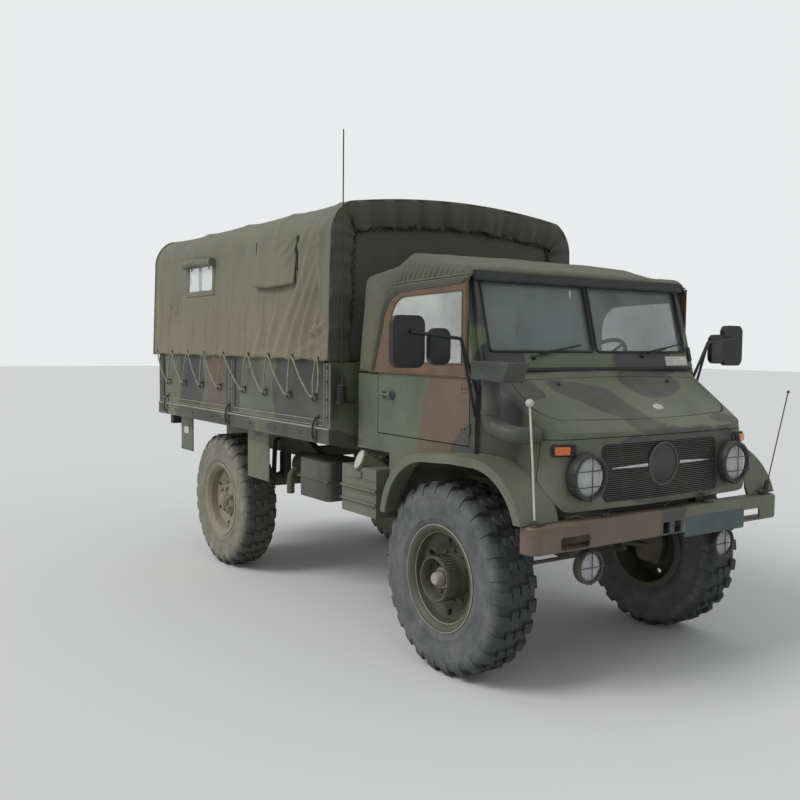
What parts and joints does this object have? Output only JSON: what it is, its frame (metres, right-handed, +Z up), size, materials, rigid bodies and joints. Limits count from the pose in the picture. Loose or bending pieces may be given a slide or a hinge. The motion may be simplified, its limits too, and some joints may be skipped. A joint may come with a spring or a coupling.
{
  "type": "light military cargo truck",
  "caption": "Light four-wheel-drive military cargo truck with a soft-top cab over the front axle, a drop-side load bed under a canvas cover and high portal axles.",
  "frame": {"origin": "on the ground under the middle of the truck's overall box", "axes": "+X forward, +Y to the truck's left, +Z up"},
  "size_m": [4.92, 2.758, 3.063],
  "materials": {
    "camouflage_paint": "matt camouflage",
    "dark_paint": "matt",
    "frame_paint": "dusty matt",
    "rim_paint": "dusty matt",
    "cast_metal": "rough",
    "tyre_rubber": "dusty",
    "canvas": "weathered",
    "side_curtain": "coated cloth with a clear light",
    "clear_glass": "clear",
    "lamp": "fluted",
    "black_plastic": "matt",
    "seat_cover": "coated",
    "signal_red": "gloss"
  },
  "bodies": {
    "root": {"chassis_frame": "frame_paint", "front_bumper": "camouflage_paint", "marker_rods": "dark_paint", "front_axle": "cast_metal", "rear_axle": "cast_metal", "suspension": "dark_paint", "engine": "cast_metal", "radiator": "dark_paint", "driveline": "cast_metal", "fuel_tank": "dark_paint", "step_boxes": "camouflage_paint", "exhaust": "cast_metal", "mud_plates": "camouflage_paint", "cab_body": "camouflage_paint", "fender_left": "camouflage_paint", "fender_right": "camouflage_paint", "front_panel": "camouflage_paint", "grille": "dark_paint", "front_lamps": "lamp", "windscreen_frame": "camouflage_paint", "windscreen_glass": "clear_glass", "cab_top": "canvas", "engine_cover": "dark_paint", "seats": "seat_cover", "steering_wheel": "black_plastic", "mirrors": "black_plastic", "air_intake": "dark_paint", "bed_frame": "camouflage_paint", "side_boards": "camouflage_paint", "cover_hoops": "frame_paint", "canvas_cover": "canvas", "antenna": "dark_paint", "tow_coupling": "dark_paint", "tail_lamps": "signal_red"},
    "door_left_body": {"door_left": "camouflage_paint", "side_window_left": "side_curtain"},
    "door_right_body": {"door_right": "camouflage_paint", "side_window_right": "side_curtain"},
    "bonnet_body": {"bonnet": "camouflage_paint"},
    "tailgate_body": {"tailgate": "camouflage_paint"},
    "steering_left": {"knuckle_left": "cast_metal"},
    "steering_right": {"knuckle_right": "cast_metal"},
    "tie_rod_body": {"tie_rod": "cast_metal"},
    "wheel_front_left": {"tyre_front_left": "tyre_rubber", "rim_front_left": "rim_paint"},
    "wheel_front_right": {"tyre_front_right": "tyre_rubber", "rim_front_right": "rim_paint"},
    "wheel_rear_left": {"tyre_rear_left": "tyre_rubber", "rim_rear_left": "rim_paint"},
    "wheel_rear_right": {"tyre_rear_right": "tyre_rubber", "rim_rear_right": "rim_paint"}
  },
  "joints": [
    {"name": "steer_left", "type": "hinge", "parent": "root", "child": "steering_left", "pos_m": [1.705, 0.68, 0.645], "axis": [0, 0, 1], "range_deg": [-28, 28]},
    {"name": "steer_right", "type": "hinge", "parent": "root", "child": "steering_right", "pos_m": [1.705, -0.68, 0.645], "axis": [0, 0, 1], "range_deg": [-28, 28]},
    {"name": "tie_rod_swing", "type": "hinge", "parent": "steering_left", "child": "tie_rod_body", "pos_m": [1.555, 0.68, 0.466], "axis": [0, 0, 1], "range_deg": [-28, 28]},
    {"name": "roll_front_left", "type": "hinge", "parent": "steering_left", "child": "wheel_front_left", "pos_m": [1.705, 0.815, 0.52], "axis": [0, 1, 0], "continuous": true},
    {"name": "roll_front_right", "type": "hinge", "parent": "steering_right", "child": "wheel_front_right", "pos_m": [1.705, -0.815, 0.52], "axis": [0, 1, 0], "continuous": true},
    {"name": "roll_rear_left", "type": "hinge", "parent": "root", "child": "wheel_rear_left", "pos_m": [-1.195, 0.815, 0.52], "axis": [0, 1, 0], "continuous": true},
    {"name": "roll_rear_right", "type": "hinge", "parent": "root", "child": "wheel_rear_right", "pos_m": [-1.195, -0.815, 0.52], "axis": [0, 1, 0], "continuous": true},
    {"name": "door_left_hinge", "type": "hinge", "parent": "root", "child": "door_left_body", "pos_m": [1.857, 0.868, 1.4], "axis": [0, 0, -1], "range_deg": [0, 70]},
    {"name": "door_right_hinge", "type": "hinge", "parent": "root", "child": "door_right_body", "pos_m": [1.857, -0.868, 1.4], "axis": [0, 0, 1], "range_deg": [0, 70]},
    {"name": "bonnet_hinge", "type": "hinge", "parent": "root", "child": "bonnet_body", "pos_m": [2, 0, 1.603], "axis": [0, -1, 0], "range_deg": [0, 55]},
    {"name": "tailgate_hinge", "type": "hinge", "parent": "root", "child": "tailgate_body", "pos_m": [-2.355, 0, 1.24], "axis": [0, -1, 0], "range_deg": [0, 90]}
  ],
  "couplings": [
    {"joint": "steer_right", "follows": "steer_left", "ratio": 1},
    {"joint": "tie_rod_swing", "follows": "steer_left", "ratio": -1}
  ]
}
